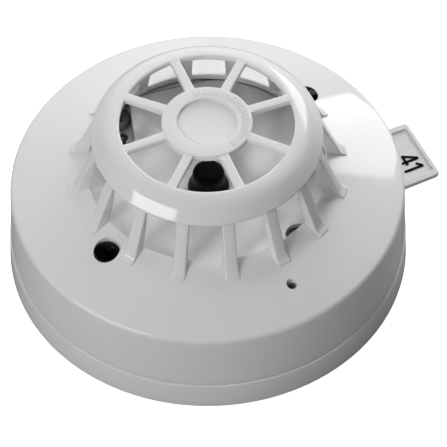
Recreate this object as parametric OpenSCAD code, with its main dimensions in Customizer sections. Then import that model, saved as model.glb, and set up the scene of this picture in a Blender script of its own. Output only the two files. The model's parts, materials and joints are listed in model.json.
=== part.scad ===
// Point heat detector on its mounting base. Millimetres, +Z up (dome side).
// Origin: centre of the flat back of the base. The address card leaves the rim at card_azimuth.

/* [Overall] */
// Radius of the base at its back, mm
base_radius = 50.5; // [45:0.1:60]
// Height of the base, mm
base_height = 8; // [6:0.1:12]
// Radius of the head skirt at the seam, mm
head_radius = 50; // [45:0.1:60]
// Overall height over the hub, mm
total_height = 50; // [40:0.1:65]
// Gap between base and head at the seam, mm
seam_gap = 0.2; // [0.1:0.05:0.5]

/* [Cover] */
// Radius of the skirt just under its rounded top edge, mm
shoulder_radius = 49.5; // [45:0.1:55]
// Height of the shoulder edge, mm
shoulder_z = 25.2; // [20:0.1:30]
// Radius of the window sill, mm
sill_radius = 29.8; // [25:0.1:35]
// Height of the window sill, mm
sill_z = 32.8; // [28:0.1:36]
// Wall thickness of the cover, mm
cover_wall = 1.8; // [1.2:0.1:3]

/* [Fins and crown] */
// Number of fins round the chamber
fin_count = 16; // [8:2:24]
// Tangential width of a fin, mm
fin_width = 3.2; // [1.5:0.1:4]
// Turn of fins and spokes from the even position, degrees
fin_turn = -0.9; // [-5:0.1:5]
// Outer radius of the domed ring, mm
ring_outer = 28.8; // [25:0.1:33]
// Radius of the opening in the ring, mm
ring_inner = 21.7; // [18:0.1:25]
// Height of the lower edge of the ring, mm
ring_low_z = 44.8; // [40:0.1:47]
// Number of spokes
spoke_count = 8; // [4:1:12]
// Width of a spoke, mm
spoke_width = 2.5; // [1.2:0.1:4]
// Outer radius of the hub, mm
hub_radius = 11.3; // [8:0.1:14]
// Radius of the recessed disc of the hub, mm
hub_disc_radius = 7.3; // [4:0.1:9]

/* [Chamber] */
// Height of the chamber floor, mm
floor_z = 30.8; // [28:0.1:31]
// Radius of the thermistor cap, mm
cap_radius = 4; // [3:0.1:5]
// Radius of the flange of the thermistor cap, mm
cap_flange = 5.15; // [4.2:0.05:7]
// Height of the top of the thermistor cap, mm
cap_top_z = 37.6; // [34:0.1:42]

/* [Indicators and lock] */
// Radius on which the two indicator lenses sit, mm
led_ring = 35.2; // [32:0.1:42]
// Radius of an indicator lens, mm
lens_radius = 2.95; // [2:0.05:4]
// Radius of the locking screw, mm
lock_radius = 1.5; // [1:0.05:2]

/* [Address card] */
// Azimuth of the card, degrees
card_azimuth = 25.8; // [0:0.1:60]
// Distance of the outer edge of the card from the axis, mm
card_reach = 61.8; // [55:0.1:70]
// Width of the card, mm
card_width = 19; // [12:0.1:24]
// Height of the upper face of the card, mm
card_top = 6.6; // [5:0.1:7.2]
// Thickness of the card, mm
card_thick = 1.2; // [0.8:0.1:2]

/* [Base fittings] */
// Radius of the cable opening, mm
cable_radius = 14; // [8:0.5:16]
// Distance between the two fixing slots, mm
slot_spacing = 60; // [50:1:70]
// Width of a fixing slot, mm
slot_width = 4.2; // [3:0.1:6]
// Length of a fixing slot, mm
slot_length = 13.2; // [6:0.1:16]

/* [Hidden] */
$fn = 96;
white = [0.93, 0.93, 0.92];
head_z = base_height + seam_gap;         // lower edge of the head
slope = (sill_z - shoulder_z) / (shoulder_radius - sill_radius);
foot_angles = [87, 207, 327];            // bayonet feet and ledges
screw_ring = 30.5;                       // cover screws
screw_angles = [-42, 138];
lock_pos = [20.6, -34.4];
lens_angles = [-135, 45];
cap_pos = [0.3, -5.5];
bead_pos = [-20.9, 9.9];
plate_z = 8.6;                           // back plate of the head
plate_t = 2;
board_z = 15;
board_t = 1.6;
term_angles = [135, 165, 195, 225];
button_start = 22;
button_pitch = 2.6;
button_r = 0.95;
button_low = 7.6;
button_top = 12.4;
pip_bits = [1, 0, 0, 1, 0, 1, 0];        // 1 + 8 + 32
rail_t = card_width / 2 + 0.3;
function cone_z(r) = sill_z - (r - sill_radius) * slope;

module at(a, r) rotate([0, 0, a]) translate([r, 0, 0]) children();

// a sector of a ring: radii r1 to r2, heights z1 to z2, centred on angle a
module sector(a, half, r1, r2, z1, z2)
  rotate([0, 0, a - half]) rotate_extrude(angle = 2 * half)
    translate([r1, z1]) square([r2 - r1, z2 - z1]);

module box(x, y, z) translate([x[0], y[0], z[0]]) cube([x[1] - x[0], y[1] - y[0], z[1] - z[0]]);

module slot2d(w, l)
  union() {
    square([w, l - w], center = true);
    for (s = [-1, 1]) translate([0, s * (l - w) / 2]) circle(d = w, $fn = 48);
  }

// ---- base ----
module mounting_base() color(white) difference() {
  union() {
    rotate_extrude() polygon([[cable_radius, 0], [base_radius, 0], [base_radius - 0.3, base_height],
      [46.8, base_height], [46.8, 2], [cable_radius + 1.6, 2], [cable_radius + 1.6, 4.6], [cable_radius, 4.6]]);
    for (a = foot_angles) {
      sector(a, 11, 43, 47, 5.6, 7.2);
      sector(a - 12.2, 1.3, 42.9, 46.95, 1.9, 7.3);
    }
    for (a = concat(term_angles, [315])) at(a, 30) box([-4.5, 4.5], [-4, 4], [1.9, 4.8]);
    rotate([0, 0, card_azimuth]) {
      for (s = [-1, 1]) {
        box([17.5, 44.5], s > 0 ? [rail_t, rail_t + 1.8] : [-rail_t - 1.8, -rail_t], [1.9, 7.1]);
        box([17.5, 44.5], s > 0 ? [rail_t - 2.4, rail_t + 0.1] : [-rail_t - 0.1, -rail_t + 2.4], [1.9, 5.35]);
      }
      box([16.1, 17.7], [-rail_t - 1.8, rail_t + 1.8], [1.9, 7.1]);
    }
    at(-155, base_radius - 0.8) box([0, 0.7], [-0.6, 0.6], [6.4, base_height - 0.1]);
  }
  rotate([0, 0, card_azimuth]) box([44.9, 53], [-rail_t, rail_t], [5.3, 9]);
  for (s = [-1, 1]) translate([0, s * slot_spacing / 2, -1]) linear_extrude(4) slot2d(slot_width, slot_length);
  for (a = concat(term_angles, [315])) at(a, 30) translate([0, 0, 2]) cylinder(r = 1.3, h = 4, $fn = 32);
}

module terminal_clamps() color([0.78, 0.76, 0.7])
  for (a = term_angles) at(a, 30) difference() {
    box([-3.4, 3.4], [-3, 3], [4.8, 5.6]);
    translate([0, 0, 4]) cylinder(r = 1.7, h = 3, $fn = 32);
  }

module terminal_screws() color([0.72, 0.72, 0.74])
  for (a = term_angles) at(a, 30) difference() {
    union() {
      translate([0, 0, 5.6]) cylinder(r = 2.6, h = 1.5, $fn = 48);
      translate([0, 0, 2.3]) cylinder(r = 1.25, h = 3.4, $fn = 32);
    }
    box([-3, 3], [-0.35, 0.35], [6.4, 8]);
  }

module contact_springs() color([0.8, 0.8, 0.82])
  for (a = term_angles) at(a, 30) translate([0, 2, 0]) rotate([90, 0, 0]) linear_extrude(4)
    polygon([[-4.4, 4.8], [-3.6, 4.8], [-3.6, 5.2], [-4.1, 5.2], [-5.6, 7.2], [-6.6, 7.8], [-7.8, 7.8],
      [-8.8, 7.2], [-9.2, 6.2], [-8.85, 6.1], [-8.5, 7], [-7.65, 7.45], [-6.75, 7.45], [-5.9, 6.95]]);

module earth_terminal() color([0.8, 0.66, 0.35]) at(315, 30) difference() {
  union() {
    box([-3.4, 3.4], [-3, 3], [4.8, 5.6]);
    translate([0, 0, 5.6]) cylinder(r = 2.6, h = 1.5, $fn = 48);
    translate([0, 0, 2.3]) cylinder(r = 1.25, h = 3.4, $fn = 32);
  }
  box([-3, 3], [-0.35, 0.35], [6.4, 8]);
}

// ---- address card ----
module card2d(x1, x2, w, r)
  union() {
    translate([x1, -w / 2]) square([x2 - x1 - r, w]);
    translate([x1, -w / 2 + r]) square([x2 - x1, w - 2 * r]);
    for (s = [-1, 1]) translate([x2 - r, s * (w / 2 - r)]) circle(r, $fn = 48);
  }

module address_card() color(white) rotate([0, 0, card_azimuth]) difference() {
  union() {
    translate([0, 0, card_top - card_thick]) linear_extrude(card_thick)
      card2d(18, card_reach, card_width, 1.4);
    for (i = [0:6]) if (pip_bits[i] == 1)
      translate([button_start + i * button_pitch, 0, card_top - 0.2]) cylinder(r = 0.8, h = 0.9, $fn = 32);
  }
  translate([0, 0, card_top - 0.35]) linear_extrude(1)
    card2d(51.4, card_reach - 1.1, card_width - 3.6, 0.8);
}

// a straight stroke of a figure from p to q
module stroke(p, q, w) translate(p) rotate(atan2(q[1] - p[1], q[0] - p[0]))
  translate([0, -w / 2]) square([norm(q - p), w]);

module card_number() color([0.08, 0.08, 0.08]) rotate([0, 0, card_azimuth])
  translate([0, 0, card_top - 0.35]) linear_extrude(0.1) {
    // 4
    stroke([54.05, -2.16], [59.2, -2.16], 0.74);
    stroke([55.6, 0.1], [55.6, -3.2], 0.74);
    stroke([55.45, 0], [59.1, -2.1], 0.7);
    // 1
    stroke([53.9, -4.9], [59.2, -4.9], 0.74);
    stroke([58.95, -4.85], [57.75, -3.5], 0.7);
  }

// ---- head, underside ----
module head_backplate() color(white) difference() {
  union() {
    translate([0, 0, plate_z]) cylinder(r = 47.4, h = plate_t, $fn = 128);
    for (a = foot_angles) {
      sector(a, 9.5, 39, 42.3, 3.7, plate_z + 0.2);
      sector(a, 9.5, 42, 45.9, 3.7, 5.2);
    }
    for (a = screw_angles) at(a, screw_ring) translate([0, 0, plate_z]) cylinder(r = 3.2, h = 15, $fn = 48);
    for (a = [75, 180, 285]) at(a, 24) translate([0, 0, plate_z]) cylinder(r = 2, h = board_z - plate_z, $fn = 32);
    translate([lock_pos[0], lock_pos[1], plate_z]) cylinder(r = 3.2, h = 8.2, $fn = 48);
  }
  for (a = screw_angles) at(a, screw_ring) translate([0, 0, 13]) cylinder(r = 1.15, h = 12, $fn = 32);
  translate([lock_pos[0], lock_pos[1], 8]) cylinder(r = lock_radius + 0.05, h = 10, $fn = 48);
  for (i = [0:6]) at(card_azimuth, button_start + i * button_pitch)
    translate([0, 0, 8]) cylinder(r = button_r + 0.05, h = 4, $fn = 32);
  for (a = term_angles) at(a, 22.8) translate([0, 0, 8]) cylinder(r = 0.66, h = 4, $fn = 24);
}

module head_contacts() color([0.8, 0.8, 0.82])
  for (a = term_angles) at(a, 22.8) {
    box([-2.4, 2.4], [-2.6, 2.6], [8.2, plate_z]);
    translate([0, 0, 8.4]) cylinder(r = 0.6, h = board_z - 8.4, $fn = 24);
  }

// ---- head, cover ----
module cover_profile()
  polygon(concat(
    [[head_radius - 2.1, head_z], [head_radius, head_z]],
    [for (i = [0:6]) let (t = -2 + i * 12.2)
      [shoulder_radius - 1.3 + 1.32 * cos(t), shoulder_z - 1.25 + 1.32 * sin(t)]],
    [[sill_radius, sill_z], [sill_radius, sill_z - cover_wall],
     [shoulder_radius - 2, cone_z(shoulder_radius - 2) - cover_wall - 0.2],
     [head_radius - 2.1, shoulder_z - 4]]));

module outer_cover() color(white) difference() {
  union() {
    rotate_extrude($fn = 192) cover_profile();
    intersection() {
      for (a = lens_angles) at(a, led_ring) translate([0, 0, 24.6]) cylinder(r = 4.1, h = 8, $fn = 64);
      rotate_extrude($fn = 192) polygon([[sill_radius - 0.5, 20], [sill_radius - 0.5, cone_z(sill_radius - 0.5) - 0.7],
        [45, cone_z(45) - 0.7], [45, 20]]);
    }
    translate([lock_pos[0], lock_pos[1], 17.4]) cylinder(r = 2.6, h = 10.4, $fn = 48);
  }
  for (a = lens_angles) at(a, led_ring) translate([0, 0, 24]) cylinder(r = lens_radius + 0.08, h = 12, $fn = 64);
  translate([lock_pos[0], lock_pos[1], 16]) cylinder(r = 1.25, h = 20, $fn = 32);
  translate([0, 0, 20]) cylinder(r = sill_radius, h = 20, $fn = 192);
}

module window_fins() color(white) difference() {
  for (k = [0:fin_count - 1]) rotate([0, 0, (k + 0.5) * 360 / fin_count + fin_turn])
    translate([0, fin_width / 2, 0]) rotate([90, 0, 0]) linear_extrude(fin_width)
      polygon([[27.3, ring_low_z - 0.04], [28.4, ring_low_z - 0.04], [33.9, 31.8], [35.2, 31],
        [35.2, 29], [29.6, 29], [29.6, 34.1], [28.3, 40]]);
  rotate_extrude($fn = 192) polygon([[sill_radius - 0.02, 20], [60, 20],
    [60, cone_z(60) + 0.02], [sill_radius - 0.02, sill_z + 0.02]]);
  translate([0, 0, 20]) cylinder(r = sill_radius, h = floor_z + 0.2 - 20, $fn = 192);
}

module crown() color(white) union() {
  rotate_extrude($fn = 128) translate([ring_outer, ring_low_z]) polygon([[0, 0], [-0.1, 0.45], [-0.75, 1.2], [-1.75, 2.33],
    [-2.55, 3.12], [-3.25, 3.65], [-3.95, 4.03], [-4.75, 4.32], [-5.75, 4.55], [ring_inner - ring_outer, 4.67],
    [ring_inner - ring_outer, 3.2], [-5.6, 3.1], [-4.6, 2.85], [-3.6, 2.35], [-2.6, 1.5], [-1.6, 0.5], [-1.5, 0], [-0.3, -0.02]]);
  for (k = [0:spoke_count - 1]) rotate([0, 0, (k + 0.5) * 360 / spoke_count + fin_turn])
    box([hub_radius - 0.5, ring_inner + 0.6], [-spoke_width / 2, spoke_width / 2],
      [total_height - 2, total_height - 0.6]);
  translate([0, 0, total_height - 1.7]) difference() {
    cylinder(r = hub_radius, h = 1.7);
    translate([0, 0, 1.2]) cylinder(r = hub_disc_radius, h = 2);
  }
}

// ---- sensing chamber ----
// outline of the pocket that leads from a cover screw to the thermistor beside the cap
module pocket2d(g) {
  p = [-22.9, 18.6];
  q = [-21.1, 10.5];
  d = norm(p - q);
  t = atan2(q[1] - p[1], q[0] - p[0]);
  f = acos(0.95 / d);
  translate(p) circle(3.7 + g, $fn = 64);
  translate(q) circle(2.75 + g, $fn = 64);
  polygon([for (e = [[p, 3.7, 1], [q, 2.75, 1], [q, 2.75, -1], [p, 3.7, -1]])
    e[0] + (e[1] + g) * [cos(t + e[2] * f), sin(t + e[2] * f)]]);
}

module chamber_floor() color([0.85, 0.85, 0.84]) difference() {
  union() {
    translate([0, 0, floor_z - 1.2]) cylinder(r = sill_radius - 0.1, h = 1.2, $fn = 192);
    translate([0, 0, 23.7]) linear_extrude(floor_z - 0.6 - 23.7) pocket2d(0.9);
    rotate_extrude($fn = 128) polygon([[28.2, floor_z - 1], [28.2, 26.4], [30.6, 26.4], [30.6, 27.4],
      [sill_radius - 0.3, 27.4], [sill_radius - 0.3, floor_z - 1]]);
    for (a = screw_angles) at(a, screw_ring) translate([0, 0, 23.6]) cylinder(r = 4.2, h = 4.2, $fn = 64);
  }
  translate([0, 0, 24.9]) linear_extrude(floor_z - 23.9) pocket2d(0);
  for (a = screw_angles) at(a, screw_ring) {
    translate([0, 0, 24.8]) cylinder(r = 3.4, h = 10, $fn = 64);
    translate([0, 0, 20]) cylinder(r = 1.3, h = 10, $fn = 32);
  }
  translate([cap_pos[0], cap_pos[1], 20]) cylinder(r = 2.2, h = 20, $fn = 48);
  translate([bead_pos[0], bead_pos[1], 20]) cylinder(r = 0.8, h = 20, $fn = 32);
}

module thermistor_cap() color([0.07, 0.07, 0.07]) translate([cap_pos[0], cap_pos[1], 0]) difference() {
  union() {
    translate([0, 0, floor_z]) cylinder(r = cap_flange, h = 2.1, $fn = 64);
    translate([0, 0, floor_z]) cylinder(r = cap_radius, h = cap_top_z - floor_z, $fn = 64);
  }
  translate([0, 0, floor_z - 1]) cylinder(r = cap_radius - 0.8, h = cap_top_z - floor_z + 0.2, $fn = 64);
}

module sensing_thermistor() color([0.15, 0.1, 0.08])
  translate([cap_pos[0], cap_pos[1], 35]) sphere(r = 1.3, $fn = 48);

module thermistor_leads() color([0.75, 0.73, 0.68])
  for (s = [-1, 1]) translate([cap_pos[0] + s * 0.6, cap_pos[1], board_z + board_t])
    cylinder(r = 0.25, h = 33.7 - board_z - board_t, $fn = 24);

module aux_thermistor() color([0.05, 0.05, 0.05]) translate([bead_pos[0], bead_pos[1], 0]) union() {
  translate([0, 0, floor_z + 1.2]) sphere(r = 1.1, $fn = 48);
  translate([0, 0, board_z + board_t]) cylinder(r = 0.5, h = floor_z + 0.6 - board_z - board_t, $fn = 24);
}

// ---- indicators ----
module lens() difference() {
  union() {
    intersection() {
      translate([0, 0, 26.3]) sphere(r = 4.2, $fn = 96);
      translate([0, 0, 25]) cylinder(r = lens_radius, h = 7, $fn = 64);
    }
    translate([-0.6, 0, 19.4]) cylinder(r = 1.8, h = 7, $fn = 48);
  }
}
module lens_left() color([0.03, 0.03, 0.03]) at(lens_angles[0], led_ring) lens();
module lens_right() color([0.03, 0.03, 0.03]) at(lens_angles[1], led_ring) lens();
module led() translate([-0.8, 0, board_z + board_t]) cylinder(r = 1.5, h = 2.6, $fn = 32);
module led_left() color([0.9, 0.88, 0.84]) at(lens_angles[0], led_ring) led();
module led_right() color([0.9, 0.88, 0.84]) at(lens_angles[1], led_ring) led();

// ---- electronics ----
module circuit_board() color([0.1, 0.35, 0.18]) difference() {
  translate([0, 0, board_z]) cylinder(r = 36.4, h = board_t, $fn = 128);
  for (a = screw_angles) at(a, screw_ring) translate([0, 0, board_z - 1]) cylinder(r = 3.5, h = 4, $fn = 48);
}
module processor() color([0.06, 0.06, 0.06]) box([-14, -4], [-24, -14], [board_z + board_t, board_z + board_t + 1.6]);
module interface_chip() color([0.06, 0.06, 0.06]) box([6, 14], [8, 13], [board_z + board_t, board_z + board_t + 1.8]);
module capacitors() color([0.2, 0.2, 0.24])
  for (p = [[-8, 18], [-1, 24], [18, -4]]) translate([p[0], p[1], board_z + board_t]) cylinder(r = 2.5, h = 6.5, $fn = 48);
module resistors() color([0.1, 0.1, 0.1])
  for (i = [0:5]) box([-30 + i * 3, -28.4 + i * 3], [-3, 0], [board_z + board_t, board_z + board_t + 0.6]);
module switch_pad() color([0.2, 0.2, 0.2])
  at(card_azimuth, 0) box([button_start - 2, button_start + 6 * button_pitch + 1.2], [-2, 2], [board_z - 1.5, board_z - 0.5]);

// ---- fasteners ----
module cover_screws() color([0.05, 0.05, 0.05])
  for (a = screw_angles) at(a, screw_ring) difference() {
    union() {
      translate([0, 0, 24.8]) cylinder(r = 2.7, h = 2, $fn = 48);
      translate([0, 0, 14]) cylinder(r = 1.1, h = 11, $fn = 32);
    }
    box([-1.5, 1.5], [-0.3, 0.3], [26, 28]);
    box([-0.3, 0.3], [-1.5, 1.5], [26, 28]);
  }

module locking_screw() color([0.35, 0.35, 0.37]) translate([lock_pos[0], lock_pos[1], 0]) difference() {
  translate([0, 0, 9]) cylinder(r = lock_radius, h = 7.4, $fn = 48);
  translate([0, 0, 14.4]) cylinder(r = 0.87, h = 3, $fn = 6);
}

// ---- address buttons ----
module button(i) color([0.9, 0.9, 0.88]) at(card_azimuth, button_start + i * button_pitch) {
  translate([0, 0, button_low]) cylinder(r = button_r, h = button_top - button_low, $fn = 32);
  translate([0, 0, plate_z + plate_t + 0.1]) cylinder(r = 1.2, h = 0.8, $fn = 32);
}
module button_1() button(0);
module button_2() button(1);
module button_4() button(2);
module button_8() button(3);
module button_16() button(4);
module button_32() button(5);
module button_64() button(6);

mounting_base();
terminal_clamps();
terminal_screws();
contact_springs();
earth_terminal();
address_card();
card_number();
head_backplate();
head_contacts();
outer_cover();
window_fins();
crown();
chamber_floor();
thermistor_cap();
sensing_thermistor();
thermistor_leads();
aux_thermistor();
lens_left();
lens_right();
led_left();
led_right();
circuit_board();
processor();
interface_chip();
capacitors();
resistors();
switch_pad();
cover_screws();
locking_screw();
button_1();
button_2();
button_4();
button_8();
button_16();
button_32();
button_64();
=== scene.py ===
import json
import math

import bmesh
import bpy
from mathutils import Matrix, Quaternion, Vector


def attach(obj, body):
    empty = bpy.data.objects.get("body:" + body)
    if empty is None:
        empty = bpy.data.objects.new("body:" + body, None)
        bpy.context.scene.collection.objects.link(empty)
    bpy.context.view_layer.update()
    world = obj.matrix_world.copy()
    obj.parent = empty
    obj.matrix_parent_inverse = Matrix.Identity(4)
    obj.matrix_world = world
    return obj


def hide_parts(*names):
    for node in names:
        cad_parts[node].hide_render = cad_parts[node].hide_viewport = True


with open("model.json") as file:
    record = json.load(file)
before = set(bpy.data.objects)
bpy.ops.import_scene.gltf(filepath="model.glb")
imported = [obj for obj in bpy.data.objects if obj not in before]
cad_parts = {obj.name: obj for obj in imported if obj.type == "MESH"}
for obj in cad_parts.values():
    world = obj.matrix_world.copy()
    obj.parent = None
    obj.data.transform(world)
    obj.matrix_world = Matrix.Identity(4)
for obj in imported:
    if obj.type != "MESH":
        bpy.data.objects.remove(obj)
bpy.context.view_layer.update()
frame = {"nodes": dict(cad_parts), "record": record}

MM = 0.001
NODES = frame["nodes"]
SEG = 288

# ------------------------------------------------------------------ shapes


def rad(d):
    return math.radians(d)


def smooth(a, b, x):
    t = min(1.0, max(0.0, (x - a) / (b - a)))
    return t * t * (3 - 2 * t)


def fillet(points, n=5):
    """Closed polygon [(x, y, radius)] with its corners rounded."""
    out = []
    count = len(points)
    for i, (x, y, r) in enumerate(points):
        if r <= 0:
            out.append((x, y))
            continue
        p = Vector((x, y))
        a = Vector(points[i - 1][:2]) - p
        b = Vector(points[(i + 1) % count][:2]) - p
        la, lb = a.length, b.length
        a.normalize()
        b.normalize()
        ang = math.acos(max(-1.0, min(1.0, a.dot(b))))
        d = min(r / math.tan(ang / 2), la * 0.49, lb * 0.49)
        rr = d * math.tan(ang / 2)
        c = p + (a + b).normalized() * (rr / math.sin(ang / 2))
        s, e = p + a * d - c, p + b * d - c
        t0 = math.atan2(s.y, s.x)
        t1 = math.atan2(e.y, e.x)
        dt = (t1 - t0 + math.pi) % (2 * math.pi) - math.pi
        for k in range(n + 1):
            t = t0 + dt * k / n
            out.append((c.x + rr * math.cos(t), c.y + rr * math.sin(t)))
    return out


def lathe(profile, seg=SEG, closed=True, place=None):
    """bmesh of a profile [(r, z)] in mm turned about Z. Not closed: it starts and ends on the axis."""
    bm = bmesh.new()
    rings = []
    for r, z in profile:
        if r < 1e-6:
            rings.append([bm.verts.new((0, 0, z * MM))])
        else:
            rings.append([bm.verts.new((r * math.cos(2 * math.pi * k / seg) * MM,
                                        r * math.sin(2 * math.pi * k / seg) * MM, z * MM)) for k in range(seg)])
    pairs = list(zip(rings, rings[1:]))
    if closed:
        pairs.append((rings[-1], rings[0]))
    for a, b in pairs:
        for k in range(seg):
            k2 = (k + 1) % seg
            if len(a) == 1 and len(b) == 1:
                continue
            if len(a) == 1:
                bm.faces.new((a[0], b[k2], b[k]))
            elif len(b) == 1:
                bm.faces.new((a[k], a[k2], b[0]))
            else:
                bm.faces.new((a[k], a[k2], b[k2], b[k]))
    return done(bm, place)


def done(bm, place=None):
    if place is not None:
        bm.transform(place)
    bmesh.ops.recalc_face_normals(bm, faces=bm.faces)
    return bm


def loft(loops, place=None):
    """bmesh through closed loops of equal length [(x, y, z)] in mm, capped at both ends."""
    bm = bmesh.new()
    rings = [[bm.verts.new((x * MM, y * MM, z * MM)) for x, y, z in loop] for loop in loops]
    n = len(rings[0])
    for a, b in zip(rings, rings[1:]):
        for k in range(n):
            k2 = (k + 1) % n
            bm.faces.new((a[k], a[k2], b[k2], b[k]))
    bm.faces.new(list(reversed(rings[0])))
    bm.faces.new(rings[-1])
    return done(bm, place)


def rrect(x1, x2, y1, y2, r, n=5):
    """Rounded rectangle as [(x, y)], anticlockwise; r is one radius or four, from the corner (x2, y2) on."""
    rs = r if isinstance(r, (list, tuple)) else (r, r, r, r)
    out = []
    for (cx, cy, sx, sy, t0), q in zip(((x2, y2, -1, -1, 0), (x1, y2, 1, -1, 90), (x1, y1, 1, 1, 180), (x2, y1, -1, 1, 270)), rs):
        for k in range(n + 1):
            t = rad(t0 + 90 * k / n)
            out.append((cx + sx * q + q * math.cos(t), cy + sy * q + q * math.sin(t)))
    return out


def bar(x1, x2, y1, y2, z1, z2, r=0.2, place=None):
    """Box with rounded upright edges and small chamfers top and bottom."""
    c = min(r, 0.2, (z2 - z1) / 3)
    def ring(z, i):
        return [(x, y, z) for x, y in rrect(x1 + i, x2 - i, y1 + i, y2 - i, max(0.02, r - i))]
    return loft([ring(z1, c * 0.6), ring(z1 + c * 0.6, 0), ring(z2 - c * 0.6, 0), ring(z2, c * 0.6)], place)


def cyl(r, z1, z2, x=0, y=0, seg=48, c=0.0):
    prof = [(0, z1), (r - c, z1), (r, z1 + c), (r, z2 - c), (r - c, z2), (0, z2)] if c else [(0, z1), (r, z1), (r, z2), (0, z2)]
    return lathe(prof, seg, closed=False, place=Matrix.Translation((x * MM, y * MM, 0)))


def turn(a):
    return Matrix.Rotation(rad(a), 4, "Z")


def shift(x, y=0, z=0):
    return Matrix.Translation((x * MM, y * MM, z * MM))


def sector(a, half, r1, r2, z1, z2, n=14, c=0.15):
    """Rounded block of a ring, centred on angle a."""
    loops = []
    for k in range(n + 1):
        t = rad(a - half + 2 * half * k / n)
        loops.append([(r * math.cos(t), r * math.sin(t), z) for r, z in rrect(r1, r2, z1, z2, c, 3)])
    return loft(loops)


def to_object(bm, name):
    me = bpy.data.meshes.new(name)
    bm.to_mesh(me)
    bm.free()
    ob = bpy.data.objects.new(name, me)
    bpy.context.scene.collection.objects.link(ob)
    return ob


def evaluated(ob):
    bpy.context.view_layer.update()
    dg = bpy.context.evaluated_depsgraph_get()
    me = bpy.data.meshes.new_from_object(ob.evaluated_get(dg))
    ob.modifiers.clear()
    old = ob.data
    ob.data = me
    bpy.data.meshes.remove(old)
    return ob


def combine(ob, others, operation):
    """Boolean of ob with bmeshes that don't meet each other, or one after another."""
    for bm in others:
        tool = to_object(bm, "tool")
        m = ob.modifiers.new("b", "BOOLEAN")
        m.operation = operation
        m.object = tool
        try:
            m.solver = "MANIFOLD"
        except TypeError:
            m.solver = "EXACT"
        evaluated(ob)
        bpy.data.objects.remove(tool)
    return ob


def merged(bms):
    """Several separate bmeshes in one."""
    out = bmesh.new()
    for bm in bms:
        me = bpy.data.meshes.new("m")
        bm.to_mesh(me)
        bm.free()
        out.from_mesh(me)
        bpy.data.meshes.remove(me)
    return out


def finish_piece(ob, body, mat, replaces=(), angle=32, name=None):
    if name:
        ob.name = name
        ob.data.name = name
    bm = bmesh.new()
    bm.from_mesh(ob.data)
    bmesh.ops.remove_doubles(bm, verts=bm.verts, dist=1e-7)
    bmesh.ops.dissolve_degenerate(bm, edges=bm.edges, dist=1e-7)
    bm.to_mesh(ob.data)
    bm.free()
    ob.data.polygons.foreach_set("use_smooth", [True] * len(ob.data.polygons))
    ob.data.set_sharp_from_angle(angle=rad(angle))
    ob.data.materials.clear()
    ob.data.materials.append(mat)
    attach(ob, body)
    if replaces:
        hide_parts(*replaces)
    return ob


# --------------------------------------------------------------- materials


def principled(name, color, rough, ior=1.5, coat=0.0, metallic=0.0, sss=0.0):
    m = bpy.data.materials.new(name)
    m.use_nodes = True
    nt = m.node_tree
    bs = nt.nodes["Principled BSDF"]
    bs.inputs["Base Color"].default_value = (*color, 1)
    bs.inputs["Roughness"].default_value = rough
    bs.inputs["IOR"].default_value = ior
    bs.inputs["Metallic"].default_value = metallic
    bs.inputs["Coat Weight"].default_value = coat
    bs.inputs["Coat Roughness"].default_value = 0.05
    if sss:
        bs.inputs["Subsurface Weight"].default_value = sss
        bs.inputs["Subsurface Radius"].default_value = (1.0, 0.9, 0.8)
        bs.inputs["Subsurface Scale"].default_value = 0.0008
    return m, nt, bs


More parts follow.
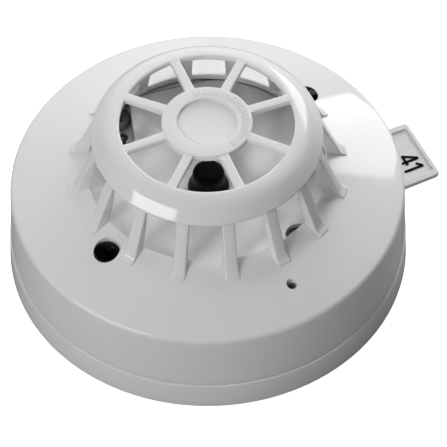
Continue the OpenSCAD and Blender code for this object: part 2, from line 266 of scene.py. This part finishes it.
def plastic(name, color, rough, spread=0.03, vary=0.02, grain=1600, bump=0.03, coat=0.0, edge=0.0, ior=1.55, crease_shade=0.0):
    """Moulded plastic: fine grain, slow change of tone and gloss, softened edges, and painted shade that darkens
    creases and hollows by ambient occlusion.
    """
    m, nt, bs = principled(name, color, rough, ior=ior, coat=coat)
    N, L = nt.nodes, nt.links
    tc = N.new("ShaderNodeTexCoord")
    slow = N.new("ShaderNodeTexNoise")
    slow.inputs["Scale"].default_value = 38
    slow.inputs["Detail"].default_value = 3
    L.new(tc.outputs["Object"], slow.inputs["Vector"])
    ramp = N.new("ShaderNodeMapRange")
    ramp.inputs["From Min"].default_value = 0.3
    ramp.inputs["From Max"].default_value = 0.7
    ramp.inputs["To Min"].default_value = 1 - vary
    ramp.inputs["To Max"].default_value = 1 + vary * 0.3
    L.new(slow.outputs["Fac"], ramp.inputs["Value"])
    col = N.new("ShaderNodeMix")
    col.data_type = "RGBA"
    col.blend_type = "MULTIPLY"
    col.inputs["Factor"].default_value = 1
    col.inputs["A"].default_value = (*color, 1)
    L.new(ramp.outputs["Result"], col.inputs["B"])
    last = col.outputs["Result"]
    # painted shade: the colour is darkened where ambient occlusion finds creases, hollows and joints
    if crease_shade:
        ao = N.new("ShaderNodeAmbientOcclusion")
        ao.samples = 4
        ao.inputs["Distance"].default_value = 0.0015
        r2 = N.new("ShaderNodeMapRange")
        r2.inputs["From Min"].default_value = 0.2
        r2.inputs["From Max"].default_value = 0.9
        r2.inputs["To Min"].default_value = 1 - crease_shade
        r2.inputs["To Max"].default_value = 1
        L.new(ao.outputs["AO"], r2.inputs["Value"])
        c2 = N.new("ShaderNodeMix")
        c2.data_type = "RGBA"
        c2.blend_type = "MULTIPLY"
        c2.inputs["Factor"].default_value = 1
        L.new(last, c2.inputs["A"])
        L.new(r2.outputs["Result"], c2.inputs["B"])
        last = c2.outputs["Result"]
    L.new(last, bs.inputs["Base Color"])
    mid = N.new("ShaderNodeTexNoise")
    mid.inputs["Scale"].default_value = 130
    mid.inputs["Detail"].default_value = 4
    L.new(tc.outputs["Object"], mid.inputs["Vector"])
    rr = N.new("ShaderNodeMapRange")
    rr.inputs["From Min"].default_value = 0.3
    rr.inputs["From Max"].default_value = 0.7
    rr.inputs["To Min"].default_value = max(0.02, rough - spread)
    rr.inputs["To Max"].default_value = rough + spread
    L.new(mid.outputs["Fac"], rr.inputs["Value"])
    L.new(rr.outputs["Result"], bs.inputs["Roughness"])
    fine = N.new("ShaderNodeTexNoise")
    fine.inputs["Scale"].default_value = grain
    fine.inputs["Detail"].default_value = 2
    L.new(tc.outputs["Object"], fine.inputs["Vector"])
    bp = N.new("ShaderNodeBump")
    bp.inputs["Strength"].default_value = bump
    bp.inputs["Distance"].default_value = 0.0002
    L.new(fine.outputs["Fac"], bp.inputs["Height"])
    if edge:
        bv = N.new("ShaderNodeBevel")
        bv.samples = 6
        bv.inputs["Radius"].default_value = edge
        L.new(bv.outputs["Normal"], bp.inputs["Normal"])
    L.new(bp.outputs["Normal"], bs.inputs["Normal"])
    return m


def metal(name, color, rough, scratch=0.08, scale=900):
    m, nt, bs = principled(name, color, rough, metallic=1.0)
    N, L = nt.nodes, nt.links
    tc = N.new("ShaderNodeTexCoord")
    no = N.new("ShaderNodeTexNoise")
    no.inputs["Scale"].default_value = scale
    no.inputs["Detail"].default_value = 3
    L.new(tc.outputs["Object"], no.inputs["Vector"])
    rr = N.new("ShaderNodeMapRange")
    rr.inputs["To Min"].default_value = max(0.05, rough - scratch)
    rr.inputs["To Max"].default_value = rough + scratch
    L.new(no.outputs["Fac"], rr.inputs["Value"])
    L.new(rr.outputs["Result"], bs.inputs["Roughness"])
    mix = N.new("ShaderNodeMix")
    mix.data_type = "RGBA"
    mix.inputs["A"].default_value = (*[c * 0.86 for c in color], 1)
    mix.inputs["B"].default_value = (*color, 1)
    L.new(no.outputs["Fac"], mix.inputs["Factor"])
    L.new(mix.outputs["Result"], bs.inputs["Base Color"])
    bp = N.new("ShaderNodeBump")
    bp.inputs["Strength"].default_value = 0.05
    bp.inputs["Distance"].default_value = 0.0001
    L.new(no.outputs["Fac"], bp.inputs["Height"])
    L.new(bp.outputs["Normal"], bs.inputs["Normal"])
    return m


# both plastics get painted shade in their creases and hollows; the last number sets how much
WHITE = plastic("white_polycarbonate", (0.80, 0.80, 0.80), 0.058, spread=0.02, edge=0.00022, crease_shade=0.1, bump=0.012)
FLOORP = plastic("chamber_plastic", (0.70, 0.70, 0.70), 0.42, edge=0.00015, bump=0.05, crease_shade=0.15)


def along(mat, axis, lo, hi, vlo, vhi):
    """Multiplies a plastic's colour by a slow change along one object axis (metres)."""
    t = mat.node_tree
    xyz, mr, mx = (t.nodes.new(k) for k in ("ShaderNodeSeparateXYZ", "ShaderNodeMapRange", "ShaderNodeMix"))
    for k, v in (("From Min", lo), ("From Max", hi), ("To Min", vlo), ("To Max", vhi)):
        mr.inputs[k].default_value = v
    b = next(n for n in t.nodes if n.bl_idname == "ShaderNodeBsdfPrincipled")
    c = next(n for n in t.nodes if n.bl_idname == "ShaderNodeTexCoord")
    t.links.new(c.outputs["Object"], xyz.inputs["Vector"])
    t.links.new(xyz.outputs[axis], mr.inputs["Value"])
    mx.data_type = "RGBA"
    mx.blend_type = "MULTIPLY"
    mx.inputs["Factor"].default_value = 1
    t.links.new(b.inputs["Base Color"].links[0].from_socket, mx.inputs["A"])
    t.links.new(mr.outputs["Result"], mx.inputs["B"])
    t.links.new(mx.outputs["Result"], b.inputs["Base Color"])


# far half darker, near half lighter: stands in for shading that the lights do not give
along(FLOORP, "Y", 0.005, 0.021, 1.13, 0.7)
BLACK = plastic("black_plastic", (0.004, 0.004, 0.004), 0.45, bump=0.05, ior=1.2)
SCREWS = plastic("floor_screws", (1.0, 1.0, 1.0), 0.45, bump=0.05, ior=1.2)
# painted light: the same screws are black in front and lifted to grey in the pocket, a guess at the tone seen there
along(SCREWS, "X", -0.004, 0.004, 0.3, 0.004)
LENS = plastic("dark_lens", (0.0015, 0.0015, 0.0016), 0.06, spread=0.01, bump=0.0, ior=1.2)
BEAD = plastic("dark_bead", (0.01, 0.01, 0.01), 0.12, spread=0.02, bump=0.01, coat=0.5)
PRINT = plastic("black_print", (0.004, 0.004, 0.004), 0.55, bump=0.02, ior=1.2)
BUTTON = plastic("button_plastic", (0.78, 0.78, 0.76), 0.35)
RESIN = plastic("led_resin", (0.8, 0.78, 0.74), 0.15)
BOARD = plastic("board_laminate", (0.03, 0.17, 0.07), 0.3, spread=0.06, vary=0.15)
CHIP = plastic("chip_black", (0.02, 0.02, 0.02), 0.5)
CAN = metal("capacitor_can", (0.35, 0.36, 0.4), 0.3)
SPRING = metal("spring_steel", (0.72, 0.72, 0.73), 0.22)
PLATED = metal("plated_steel", (0.68, 0.67, 0.62), 0.3)
BRASS = metal("brass_terminal", (0.78, 0.6, 0.3), 0.25)
SCREW = metal("screw_steel", (0.25, 0.25, 0.27), 0.35)
WIRE = metal("tinned_wire", (0.75, 0.74, 0.72), 0.25)

SLOT_MAT = {
    "white_polycarbonate": WHITE, "chamber_plastic": FLOORP, "black_plastic": BLACK, "dark_glass_bead": BEAD,
    "tinned_wire": WIRE, "dark_lens": LENS, "led_resin": RESIN, "board_laminate": BOARD, "chip_black": CHIP,
    "capacitor_can": CAN, "spring_steel": SPRING, "plated_steel": PLATED, "brass_terminal": BRASS,
    "screw_steel": SCREW, "black_print": PRINT, "button_plastic": BUTTON,
}
for sp in frame["record"]["subparts"]:
    o = NODES[sp["node"]]
    o.data.materials.clear()
    o.data.materials.append(SCREWS if sp["node"] == "cover_screws" else SLOT_MAT[sp["material_slot"]])

# ------------------------------------------------------------- head moulding

SILL_R, SILL_Z, SH_R, SH_Z = 29.8, 32.8, 49.5, 25.2
FIN_TURN = -0.9
SLOPE = (SILL_Z - SH_Z) / (SH_R - SILL_R)


def cone_z(r):
    return SILL_Z - (r - SILL_R) * SLOPE


def densify(poly, limit=1.4):
    out = []
    for (x, y), (x2, y2) in zip(poly, poly[1:] + poly[:1]):
        n = max(1, int(math.ceil(math.hypot(x2 - x, y2 - y) / limit)))
        out += [(x + (x2 - x) * k / n, y + (y2 - y) * k / n) for k in range(n)]
    return out


cover_profile = fillet([
    (47.9, 8.06, 0.15), (50.0, 8.06, 0.3), (SH_R, SH_Z + 0.05, 1.35), (SILL_R, SILL_Z, 0.3),
    (SILL_R, SILL_Z - 1.8, 0.2), (47.4, cone_z(47.4) - 1.9, 0.8), (47.9, 20, 0)], 6)
cover = to_object(lathe(densify(cover_profile, 2.2), SEG), "cover")

LENS_AT = [(-135, 35.2), (45, 35.2)]
LOCK = (20.6, -34.4)
LENS_HOLE = 3.25


def under_cone(r, z1, gap, x, y, seg=48):
    """Upright cylinder whose top follows the cone, gap below its surface."""
    bm = cyl(r, z1, 40, x, y, seg)
    for v in bm.verts:
        if v.co.z > 0.035:
            v.co.z = (cone_z(math.hypot(v.co.x, v.co.y) / MM) - gap) * MM
    return bm


bosses = []
for a, r in LENS_AT:
    bosses.append(under_cone(4.3, 24.6, 0.5, r * math.cos(rad(a)), r * math.sin(rad(a)), 64))
bosses.append(under_cone(2.6, 17.4, 0.5, *LOCK))
combine(cover, bosses, "UNION")
cuts = []
for a, r in LENS_AT:
    rim = [(0, 20), (LENS_HOLE, 20), (LENS_HOLE, 30.7)] + [
        (LENS_HOLE + 1.0 * (1 - math.cos(rad(t))), 30.7 + 1.25 * math.sin(rad(t))) for t in range(12, 85, 12)] + [
        (LENS_HOLE + 0.95, 32.0), (LENS_HOLE + 1.3, 34), (LENS_HOLE + 1.3, 40), (0, 40)]
    cuts.append(lathe(rim, 72, closed=False, place=turn(a) @ shift(r)))
cuts.append(cyl(1.27, 10, 40, *LOCK, 40))
cuts.append(cyl(2.1, 18, 27.6, *LOCK, 40))
combine(cover, cuts, "DIFFERENCE")


def fin(a):
    # height, inner radius, outer radius: a straight buttress that ends in a thin foot on the cone
    curve = [(45.5, 27.5, 28.0), (44.9, 27.6, 28.45), (44.2, 27.8, 28.8), (42.8, 28.05, 29.38), (41.0, 28.25, 30.08), (39.0, 28.5, 30.86),
             (37.2, 28.9, 31.56), (35.6, 29.25, 32.2), (34.2, 29.6, 32.76), (33.2, 29.8, 33.18), (32.5, 29.95, 33.48), (32.05, 30.0, 33.74),
             (31.75, 30.0, 34.0), (31.5, 30.0, 34.25), (31.3, 30.0, 34.6), (31.12, 30.0, 34.98), (30.98, 30.0, 35.2), (30.7, 30.0, 35.27),
             (29.4, 30.0, 35.3)]
    loops = []
    for z, ri, ro in curve:
        w = 3.1 + 0.35 * smooth(34.0, 31.2, z)
        q = min(0.35, 0.3 * (ro - ri))
        loops.append([(x, y, z) for x, y in rrect(ri, ro, -w / 2, w / 2, (q, 0.2, 0.2, q) if ro - ri > 0.9 else (q * 0.6,) * 4, 4)])
    return loft(loops, turn(a))


def ring_profile():
    """Ring: flat top, then a steep shoulder that falls along a nearly straight line to a thin lip."""
    outer = [(28.8, 44.86), (28.79, 45.0), (28.72, 45.14), (28.6, 45.28), (28.3, 45.64), (28.0, 46.0), (27.5, 46.58), (27.0, 47.12),
             (26.6, 47.52), (26.2, 47.9), (25.85, 48.19), (25.5, 48.44), (25.15, 48.65), (24.8, 48.82), (24.4, 48.98), (24.0, 49.11),
             (23.5, 49.24), (23.0, 49.34), (22.5, 49.42), (22.12, 49.45)]
    inner = [(21.93, 49.42), (21.8, 49.33), (21.72, 49.2), (21.7, 49.0), (21.7, 48.2), (21.78, 48.02), (22.0, 47.95), (23.0, 47.9), (24.2, 47.65),
             (25.2, 47.15), (26.2, 46.3), (27.0, 45.4), (27.3, 45.0), (27.5, 44.84), (28.0, 44.78), (28.5, 44.76), (28.7, 44.78)]
    return outer + inner


crown = to_object(lathe(ring_profile(), SEG), "crown_ring")


def spoke(a):
    loops = []
    for r, w, top in ((10.9, 2.9, 49.86), (11.6, 2.6, 49.82), (12.6, 2.46, 49.78), (17, 2.42, 49.62), (20.2, 2.46, 49.51),
                      (21.5, 2.6, 49.45), (22.2, 2.9, 49.4)):
        loops.append([(r, y, z) for y, z in rrect(-w / 2, w / 2, 48.05, top, 0.3, 4)])
    return loft(loops, turn(a))


hub_profile = [(0, 48.25)] + fillet([(11.3, 48.25, 0.25), (11.3, 50.0, 0.32), (7.5, 50.0, 0.2), (7.3, 49.25, 0.12), (3, 49.25, 0), (3, 48.25, 0)], 5)[:-2] + [(0, 49.25)]
hub = lathe(hub_profile, 160, closed=False)
combine(crown, [spoke(22.5 + 45 * k + FIN_TURN) for k in range(8)], "UNION")
combine(crown, [hub], "UNION")
ticks = []
for k in range(34):
    a = -48 + 4.75 * k
    w = (0.22, 0.3, 0.18, 0.26)[k % 4]
    ticks.append(bar(8.55 + 0.12 * (k % 3), 10.5 - 0.14 * (k % 2), -w, w, 49.8, 50.1, 0.1, turn(a)))
combine(crown, [merged(ticks)], "UNION")
fins = [fin(11.25 + 22.5 * k + FIN_TURN) for k in range(16)]
combine(cover, [merged(fins)], "UNION")
cme = bmesh.new()
cme.from_mesh(crown.data)
bpy.data.objects.remove(crown)
combine(cover, [cme], "UNION")
finish_piece(cover, "head", WHITE, ("outer_cover", "window_fins", "crown"), name="head_moulding")

# ---------------------------------------------------------- sensing chamber

FLOOR_R = 29.77
floor_prof = [(0, 29.3)] + fillet([(28.3, 29.3, 0), (28.3, 26.4, 0.2), (30.6, 26.4, 0.2), (30.6, 27.5, 0.2), (FLOOR_R, 27.5, 0.2), (FLOOR_R, 30.8, 0.03)], 4) + [(0, 30.8)]
chamber = to_object(lathe(floor_prof, 200, closed=False), "chamber")
WELLS = [(30.5 * math.cos(rad(a)), 30.5 * math.sin(rad(a))) for a in (-42, 138)]


def tangent(c1, r1, c2, r2, n=20):
    """Outline of two circles and their outer tangents."""
    d = math.hypot(c2[0] - c1[0], c2[1] - c1[1])
    t = math.atan2(c2[1] - c1[1], c2[0] - c1[0])
    f = math.acos((r1 - r2) / d)
    out = [(c2[0] + r2 * math.cos(t - f + 2 * f * k / n), c2[1] + r2 * math.sin(t - f + 2 * f * k / n)) for k in range(n + 1)]
    g = math.pi - f
    out += [(c1[0] + r1 * math.cos(t + f + 2 * g * k / n), c1[1] + r1 * math.sin(t + f + 2 * g * k / n)) for k in range(n + 1)]
    return out


def prism(outline, z1, z2):
    return loft([[(x, y, z) for x, y in outline] for z in (z1, z2)])


POCKET = ((-22.9, 18.6), 3.7, (-21.1, 10.5), 2.75)
wells = [cyl(4.2, 23.6, 27.9, x, y, 64) for x, y in WELLS]
wells.append(prism(tangent(POCKET[0], POCKET[1] + 0.9, POCKET[2], POCKET[3] + 0.9), 23.8, 30.2))
combine(chamber, wells, "UNION")
cuts = []
for x, y in WELLS:
    cuts.append(lathe([(0, 24.8), (3.4, 24.8), (3.4, 34), (0, 34)], 64, closed=False, place=shift(x, y)))
loops = []
for z, g in ((24.95, -0.25), (25.2, 0), (30.6, 0), (30.75, 0.06), (31.2, 0.5)):
    loops.append([(x, y, z) for x, y in tangent(POCKET[0], POCKET[1] + g, POCKET[2], POCKET[3] + g)])
cuts.append(loft(loops))
gp, gq = (29.9 * math.cos(rad(124)), 29.9 * math.sin(rad(124))), (29.9 * math.cos(rad(89)), 29.9 * math.sin(rad(89)))
gt = math.degrees(math.atan2(gq[1] - gp[1], gq[0] - gp[0]))
cuts.append(bar(0, math.hypot(gq[0] - gp[0], gq[1] - gp[1]), -0.16, 0.16, 30.2, 31.5, 0.05, shift(*gp) @ turn(gt)))
cuts.append(cyl(0.8, 20, 40, -20.9, 9.9, 32))
cuts.append(cyl(2.2, 20, 40, 0.3, -5.5, 48))
combine(chamber, cuts, "DIFFERENCE")
finish_piece(chamber, "head", FLOORP, ("chamber_floor",), name="chamber_floor_disc")

cap_prof = [(0, 37.7)] + [(3.0 * k / 6, 37.7 - 0.06 * (k / 6) ** 2) for k in range(1, 7)] + [
    (3.45, 37.45), (3.78, 37.1), (3.96, 36.6), (4.02, 36.0), (4.05, 34.9), (4.12, 34.3), (4.32, 33.75), (4.66, 33.2),
    (4.95, 32.6), (5.12, 31.9), (5.18, 31.2), (5.15, 30.82), (3.2, 30.82), (3.2, 36.6), (0, 36.7)]
cap = to_object(lathe(cap_prof, 96, closed=False, place=shift(0.3, -5.5)), "cap")
finish_piece(cap, "head", BLACK, ("thermistor_cap",), name="thermistor_cap_moulding", angle=50)

# ---------------------------------------------------------------- indicators

for (a, r), node in zip(LENS_AT, ("lens_left", "lens_right")):
    prof = [(0, 25.2), (3.0, 25.2), (3.05, 25.4), (3.05, 29.9)]
    R = 6.0
    zc = 31.0 - R
    for k in range(0, 13):
        x = 2.97 - 2.97 * k / 12
        prof.append((x, zc + math.sqrt(R * R - x * x)))
    prof[-1] = (0, 31.0)
    ob = to_object(lathe(prof, 72, closed=False, place=turn(a) @ shift(r)), "lens")
    finish_piece(ob, "head", LENS, (node,), name=node + "_dome", angle=40)

# ---------------------------------------------------------------- base

base_prof = fillet([(14.0, 0, 0.2), (50.5, 0, 0.3), (50.22, 8.0, 0.28), (46.8, 8.0, 0.2), (46.8, 2.0, 0.3), (15.6, 2.0, 0.3), (15.6, 4.6, 0.3), (14.0, 4.6, 0.3)], 5)
base = to_object(lathe(densify(base_prof, 2.5), SEG), "base")
adds = []
for a in (87, 207, 327):
    adds.append(sector(a, 11, 43, 47.2, 5.6, 7.2))
    adds.append(sector(a - 12.2, 1.3, 42.9, 47.1, 1.8, 7.3, 3))
for a in (135, 165, 195, 225, 315):
    adds.append(bar(25.5, 34.5, -4, 4, 1.8, 4.8, 0.4, turn(a)))
for s in (-1, 1):
    y = sorted((s * 9.8, s * 11.6))
    adds.append(bar(17.5, 44.5, y[0], y[1], 1.8, 7.1, 0.2, turn(25.8)))
    y = sorted((s * 7.4, s * 9.9))
    adds.append(bar(17.5, 44.5, y[0], y[1], 1.8, 5.35, 0.2, turn(25.8)))
adds.append(bar(16.1, 17.7, -11.6, 11.6, 1.8, 7.1, 0.2, turn(25.8)))
mark = bar(49.6, 50.42, -0.55, 0.55, 6.6, 7.95, 0.15, turn(-155))
adds.append(mark)
combine(base, adds, "UNION")
cuts = [bar(44.9, 53, -9.8, 9.8, 5.3, 9, 0.1, turn(25.8))]
for s in (-1, 1):
    loop = []
    for k in range(33):
        t = math.pi * k / 32
        loop.append((2.1 * math.cos(t), s * 30 + 4.5 + 2.1 * math.sin(t)))
    for k in range(33):
        t = math.pi + math.pi * k / 32
        loop.append((2.1 * math.cos(t), s * 30 - 4.5 + 2.1 * math.sin(t)))
    cuts.append(loft([[(x, y, z) for x, y in loop] for z in (-1, 3)]))
for a in (135, 165, 195, 225, 315):
    cuts.append(cyl(1.3, 2, 6, 30 * math.cos(rad(a)), 30 * math.sin(rad(a)), 32))
combine(base, cuts, "DIFFERENCE")
finish_piece(base, "base", WHITE, ("mounting_base",), name="base_moulding")

# ---------------------------------------------------------------- address card

CT = 6.6
TURN = turn(25.8)


def card_ring(x1, x2, w, r, z, n=6):
    return [(x, y, z) for x, y in rrect(x1, x2, -w / 2, w / 2, (r, 0.3, 0.3, r), n)]


X2 = 61.8
card = to_object(loft([
    card_ring(18.2, X2 - 0.2, 18.6, 1.2, CT - 1.2), card_ring(18.05, X2 - 0.05, 18.9, 1.35, CT - 1.1),
    card_ring(18, X2, 19, 1.4, CT - 0.95), card_ring(18, X2, 19, 1.4, CT - 0.25),
    card_ring(18.05, X2 - 0.05, 18.9, 1.35, CT - 0.1), card_ring(18.2, X2 - 0.2, 18.6, 1.2, CT)], TURN), "card")
combine(card, [loft([card_ring(51.4, X2 - 1.12, 15.3, 0.7, CT - 0.38), card_ring(51.4, X2 - 1.08, 15.36, 0.72, CT - 0.34),
                     card_ring(51.35, X2 - 1.05, 15.42, 0.75, CT - 0.04), card_ring(51.3, X2 - 0.9, 15.7, 0.9, CT + 0.3)], TURN)], "DIFFERENCE")
pips = [lathe([(0, CT - 0.3), (0.8, CT - 0.3), (0.8, CT + 0.5), (0.65, CT + 0.68), (0, CT + 0.7)], 24, closed=False,
              place=TURN @ shift(22 + 2.6 * i)) for i in (0, 3, 5)]
combine(card, [merged(pips)], "UNION")
finish_piece(card, "card", WHITE, ("address_card",), name="address_card_plate")


def stroke(p, q, w, z1, z2, place, n=8):
    """Straight stroke from p to q with softly rounded ends."""
    t = math.atan2(q[1] - p[1], q[0] - p[0])
    long = math.hypot(q[0] - p[0], q[1] - p[1])
    outline = [(p[0] + x * math.cos(t) - y * math.sin(t), p[1] + x * math.sin(t) + y * math.cos(t))
               for x, y in rrect(0, long, -w / 2, w / 2, w * 0.22, n)]
    return loft([[(x, y, z) for x, y in outline] for z in (z1, z2)], place)


ZN = CT - 0.40
number = to_object(stroke((54.0, -2.16), (59.2, -2.16), 0.74, ZN, ZN + 0.12, TURN), "number")
combine(number, [stroke((55.6, 0.15), (55.6, -3.2), 0.74, ZN, ZN + 0.12, TURN)], "UNION")
combine(number, [stroke((55.35, 0.08), (59.15, -2.08), 0.7, ZN, ZN + 0.12, TURN)], "UNION")
one = to_object(stroke((53.85, -4.9), (59.25, -4.9), 0.76, ZN, ZN + 0.12, TURN), "one")
combine(one, [stroke((59.05, -4.8), (57.7, -3.5), 0.7, ZN, ZN + 0.12, TURN)], "UNION")
obm = bmesh.new()
obm.from_mesh(one.data)
bpy.data.objects.remove(one)
combine(number, [obm], "UNION")
finish_piece(number, "card", PRINT, ("card_number",), name="card_figures")

# ------------------------------------------------------------------ stage

# the floor is open under the base, so the back of the base can be looked at from below
bm = bmesh.new()
S = 6.0
ringv = []
for k in range(96):
    fx, fy = math.cos(2 * math.pi * k / 96), math.sin(2 * math.pi * k / 96)
    m = S / max(abs(fx), abs(fy))
    ringv.append((bm.verts.new((0.0493 * fx, 0.0493 * fy, 0)), bm.verts.new((m * fx, m * fy, 0))))
for k in range(96):
    p0, p1 = ringv[k], ringv[(k + 1) % 96]
    bm.faces.new((p0[0], p0[1], p1[1], p1[0]))
floor = to_object(bm, "floor")
fm = bpy.data.materials.new("floor_pale")
fm.use_nodes = True
nt = fm.node_tree
nt.nodes.clear()
out = nt.nodes.new("ShaderNodeOutputMaterial")
lp = nt.nodes.new("ShaderNodeLightPath")
mixc = nt.nodes.new("ShaderNodeMixShader")
dark = nt.nodes.new("ShaderNodeBsdfDiffuse")
dark.inputs["Color"].default_value = (0.32, 0.32, 0.32, 1)
pale = nt.nodes.new("ShaderNodeBsdfDiffuse")
pale.inputs["Color"].default_value = (0.9, 0.9, 0.9, 1)
glow = nt.nodes.new("ShaderNodeEmission")
glow.inputs["Color"].default_value = (1, 1, 1, 1)
glow.inputs["Strength"].default_value = 0.75
add = nt.nodes.new("ShaderNodeAddShader")
nt.links.new(pale.outputs[0], add.inputs[0])
nt.links.new(glow.outputs[0], add.inputs[1])
nt.links.new(lp.outputs["Is Camera Ray"], mixc.inputs["Fac"])
nt.links.new(dark.outputs[0], mixc.inputs[1])
nt.links.new(add.outputs[0], mixc.inputs[2])
nt.links.new(mixc.outputs[0], out.inputs["Surface"])
floor.data.materials.append(fm)

# ------------------------------------------------------------------ camera

EL, ROLL, FPX, DIST, OX, OY = 51.617, -0.307, 4405.889, 1104.718, 3.952, -8.358
back = Vector((0, -math.cos(rad(EL)), math.sin(rad(EL))))
right = Vector((1, 0, 0))
up = back.cross(right)
r2 = right * math.cos(rad(ROLL)) + up * math.sin(rad(ROLL))
u2 = -right * math.sin(rad(ROLL)) + up * math.cos(rad(ROLL))
pos = (Vector((OX, OY, 20)) + back * DIST) * MM
cam = bpy.data.cameras.new("camera")
cam.sensor_width = 36
cam.lens = 36 * FPX / 447
cam.clip_start = 0.05
cam.clip_end = 30
co = bpy.data.objects.new("camera", cam)
co.matrix_world = Matrix(((r2.x, u2.x, back.x, pos.x), (r2.y, u2.y, back.y, pos.y), (r2.z, u2.z, back.z, pos.z), (0, 0, 0, 1)))
bpy.context.scene.collection.objects.link(co)
bpy.context.scene.camera = co

# ------------------------------------------------------------------ lights


def area(name, az, el, dist, sx, sy, power, roll=0, aim=(0, 0, 0.03)):
    """Rectangular softbox; az is measured from +X towards +Y."""
    d = Vector((math.cos(rad(el)) * math.cos(rad(az)), math.cos(rad(el)) * math.sin(rad(az)), math.sin(rad(el))))
    li = bpy.data.lights.new(name, "AREA")
    li.shape = "RECTANGLE"
    li.size, li.size_y = sx, sy
    li.energy = power
    ob = bpy.data.objects.new(name, li)
    ob.location = Vector(aim) + d * dist
    ob.rotation_euler = ((-d).to_track_quat("-Z", "Y") @ Quaternion((0, 0, 1), rad(roll))).to_euler()
    bpy.context.scene.collection.objects.link(ob)
    return ob


# name, azimuth, elevation, distance, width, height, power, roll, seen in reflections
BOXES = [
    ("back_right", 62.3, 28.8, 1.6, 0.61, 0.77, 5.8, 13, True),
    ("front_left", 221, 28.5, 1.6, 1.08, 0.36, 7.0, 12, True),
    ("back_low_right", 60, 12, 1.6, 0.35, 0.35, 11.5, 0, False),
    ("back_low", 90, 15, 1.6, 0.35, 0.35, 10.0, 0, False),
    ("back_strip", 90, 32, 1.6, 0.35, 0.35, 2.2, 0, False),
    ("back_high", 105, 63, 1.6, 0.35, 0.35, 3.2, 0, False),
    ("overhead", 300, 80, 1.6, 0.35, 0.35, 2.8, 0, False),
    ("left_low", 230, 32, 1.6, 0.35, 0.35, 4.9, 0, False),
    ("left_high", 225, 60, 1.6, 0.35, 0.35, 2.0, 0, False),
    ("front_low", 275, 20, 1.6, 0.35, 0.35, 0.9, 0, False),
    ("right_low", 303, 28, 1.6, 0.35, 0.35, 1.1, 0, False),
]
for nm, az, el, dist, sx, sy, power, roll, gloss in BOXES:
    area(nm, az, el, dist, sx, sy, power, roll).visible_glossy = gloss

area("under", 250, -55, 1.2, 0.5, 0.5, 5.0).visible_glossy = False

# soft lobes of the studio tent: azimuth, elevation, sharpness, strength
LOBES = [(90, 14, 12, 0.35)]
world = bpy.data.worlds.new("studio")
bpy.context.scene.world = world
world.use_nodes = True
wt = world.node_tree
wt.nodes.clear()
wo = wt.nodes.new("ShaderNodeOutputWorld")
bgc = wt.nodes.new("ShaderNodeBackground")
bgc.inputs["Color"].default_value = (1, 1, 1, 1)
bgc.inputs["Strength"].default_value = 1.0
bgl = wt.nodes.new("ShaderNodeBackground")
bgl.inputs["Color"].default_value = (1, 1, 1, 1)
tcw = wt.nodes.new("ShaderNodeTexCoord")


def wmath(op, a, b=None):
    n = wt.nodes.new("ShaderNodeMath")
    n.operation = op
    for i, v in enumerate((a, b)):
        if v is None:
            continue
        if isinstance(v, (int, float)):
            n.inputs[i].default_value = v
        else:
            wt.links.new(v, n.inputs[i])
    return n


total = None
for i, (az, el, sharp, strength) in enumerate(LOBES):
    dot = wt.nodes.new("ShaderNodeVectorMath")
    dot.operation = "DOT_PRODUCT"
    wt.links.new(tcw.outputs["Generated"], dot.inputs[0])
    dot.inputs[1].default_value = (math.cos(rad(el)) * math.cos(rad(az)), math.cos(rad(el)) * math.sin(rad(az)), math.sin(rad(el)))
    lobe = wmath("POWER", wmath("MAXIMUM", dot.outputs["Value"], 0.0).outputs[0], float(sharp))
    w = wmath("MULTIPLY", lobe.outputs[0], float(strength))
    w.name = "lobe_%d" % i
    total = w.outputs[0] if total is None else wmath("ADD", total, w.outputs[0]).outputs[0]
wt.links.new(total, bgl.inputs["Strength"])
lpw = wt.nodes.new("ShaderNodeLightPath")
mw = wt.nodes.new("ShaderNodeMixShader")
wt.links.new(lpw.outputs["Is Camera Ray"], mw.inputs["Fac"])
wt.links.new(bgl.outputs[0], mw.inputs[1])
wt.links.new(bgc.outputs[0], mw.inputs[2])
wt.links.new(mw.outputs[0], wo.inputs["Surface"])

sc = bpy.context.scene
sc.view_settings.view_transform = "Standard"
sc.view_settings.look = "None"
sc.view_settings.exposure = 0
sc.view_settings.gamma = 1
